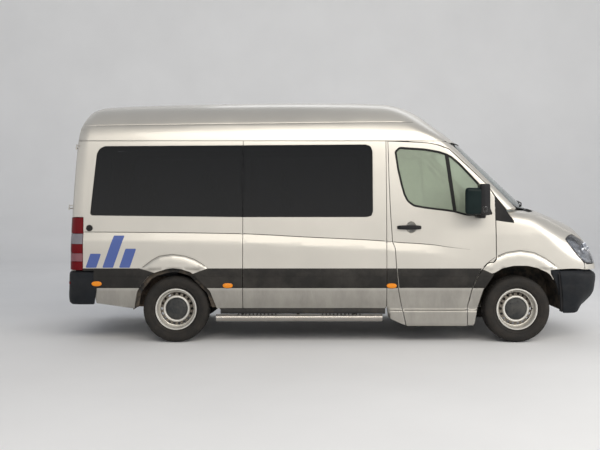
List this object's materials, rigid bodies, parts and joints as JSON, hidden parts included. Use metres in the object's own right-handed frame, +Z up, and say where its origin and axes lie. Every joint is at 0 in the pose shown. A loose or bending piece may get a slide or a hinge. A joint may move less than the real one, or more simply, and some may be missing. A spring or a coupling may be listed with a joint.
{
  "type": "minibus",
  "caption": "High-roof passenger minibus with opening front and rear doors, bonnet, steered front wheels and a row-seated cabin behind glass.",
  "frame": {"origin": "on the ground under the centre of the overall length and width", "axes": "+X forward, +Y to the vehicle's left, +Z up"},
  "size_m": [5.91, 2.456, 2.6848],
  "materials": {
    "silver_paint": "silver metallic paint under clear coat",
    "tinted_glass": "dark privacy tint",
    "green_glass": "light green tint",
    "lamp_clear": "clear lens over a reflector",
    "lamp_red": "red and clear lens",
    "tyre_rubber": "dusty black rubber",
    "silver_steel": "silver painted steel",
    "black_plastic": "grained dark grey plastic",
    "grey_plastic": "grained dark plastic",
    "seat_fabric": "woven dark cloth",
    "bright_steel": "brushed bright tube",
    "floor_grey": "dark floor covering",
    "chassis_black": "black chassis paint, dusty"
  },
  "bodies": {
    "body": {"bulkhead": "floor_grey", "chassis_frame": "chassis_black", "cowl": "black_plastic", "dashboard": "grey_plastic", "engine": "chassis_black", "exhaust": "chassis_black", "floor": "floor_grey", "front_bumper": "black_plastic", "front_seats": "seat_fabric", "front_subframe": "chassis_black", "front_wheel_houses": "black_plastic", "front_wings": "silver_paint", "fuel_tank": "chassis_black", "grille": "black_plastic", "headlamps": "lamp_clear", "leaf_springs": "chassis_black", "passenger_seats": "seat_fabric", "propeller_shaft": "chassis_black", "rear_axle": "chassis_black", "rear_bumper": "black_plastic", "rear_wheel_houses": "black_plastic", "roof": "silver_paint", "side_bars": "bright_steel", "side_cladding": "black_plastic", "side_glass": "tinted_glass", "side_wall_left": "silver_paint", "side_wall_right": "silver_paint", "sliding_door": "silver_paint", "tail_lamps": "lamp_red", "windscreen": "green_glass", "wipers": "black_plastic"},
    "front_door_left": {"front_door_left": "silver_paint", "front_door_glass_left": "green_glass", "mirror_left": "black_plastic"},
    "front_door_right": {"front_door_right": "silver_paint", "front_door_glass_right": "green_glass", "mirror_right": "black_plastic"},
    "rear_door_left": {"rear_door_left": "silver_paint", "rear_door_glass_left": "tinted_glass"},
    "rear_door_right": {"rear_door_right": "silver_paint", "rear_door_glass_right": "tinted_glass"},
    "bonnet": {"bonnet": "silver_paint"},
    "knuckle_left": {"knuckle_left": "chassis_black"},
    "knuckle_right": {"knuckle_right": "chassis_black"},
    "steering_wheel": {"steering_wheel": "grey_plastic"},
    "wheel_front_left": {"tyre_front_left": "tyre_rubber", "wheel_front_left": "silver_steel"},
    "wheel_front_right": {"tyre_front_right": "tyre_rubber", "wheel_front_right": "silver_steel"},
    "wheel_rear_left": {"tyre_rear_left": "tyre_rubber", "wheel_rear_left": "silver_steel"},
    "wheel_rear_right": {"tyre_rear_right": "tyre_rubber", "wheel_rear_right": "silver_steel"}
  },
  "joints": [
    {"name": "steer_left", "type": "hinge", "parent": "body", "child": "knuckle_left", "pos_m": [1.951, 0.79, 0.356], "axis": [0, 0, 1], "range_deg": [-36, 36]},
    {"name": "steer_right", "type": "hinge", "parent": "body", "child": "knuckle_right", "pos_m": [1.951, -0.79, 0.356], "axis": [0, 0, 1], "range_deg": [-36, 36]},
    {"name": "steering_wheel_turn", "type": "hinge", "parent": "body", "child": "steering_wheel", "pos_m": [1.366, 0.43, 1.2705], "axis": [-0.9119, 0, 0.4104], "range_deg": [-540, 540]},
    {"name": "spin_front_left", "type": "hinge", "parent": "knuckle_left", "child": "wheel_front_left", "pos_m": [1.951, 0.852, 0.356], "axis": [0, 1, 0], "continuous": true},
    {"name": "spin_front_right", "type": "hinge", "parent": "knuckle_right", "child": "wheel_front_right", "pos_m": [1.951, -0.852, 0.356], "axis": [0, 1, 0], "continuous": true},
    {"name": "spin_rear_left", "type": "hinge", "parent": "body", "child": "wheel_rear_left", "pos_m": [-1.714, 0.85, 0.356], "axis": [0, 1, 0], "continuous": true},
    {"name": "spin_rear_right", "type": "hinge", "parent": "body", "child": "wheel_rear_right", "pos_m": [-1.714, -0.85, 0.356], "axis": [0, 1, 0], "continuous": true},
    {"name": "front_door_left_hinge", "type": "hinge", "parent": "body", "child": "front_door_left", "pos_m": [1.668, 0.975, 1], "axis": [0, 0, -1], "range_deg": [0, 70]},
    {"name": "front_door_right_hinge", "type": "hinge", "parent": "body", "child": "front_door_right", "pos_m": [1.668, -0.975, 1], "axis": [0, 0, 1], "range_deg": [0, 70]},
    {"name": "rear_door_right_hinge", "type": "hinge", "parent": "body", "child": "rear_door_right", "pos_m": [-2.9516, -0.862, 0.9], "axis": [0.1122, 0.0278, 0.9933], "range_deg": [0, 180]},
    {"name": "rear_door_left_hinge", "type": "hinge", "parent": "body", "child": "rear_door_left", "pos_m": [-2.9516, 0.862, 0.9], "axis": [-0.1122, 0.0278, -0.9933], "range_deg": [0, 180]},
    {"name": "bonnet_hinge", "type": "hinge", "parent": "body", "child": "bonnet", "pos_m": [2, 0, 1.42], "axis": [0, -1, 0], "range_deg": [0, 55]}
  ],
  "couplings": [
    {"joint": "steer_right", "follows": "steer_left", "ratio": 1},
    {"joint": "steering_wheel_turn", "follows": "steer_left", "ratio": 15}
  ]
}
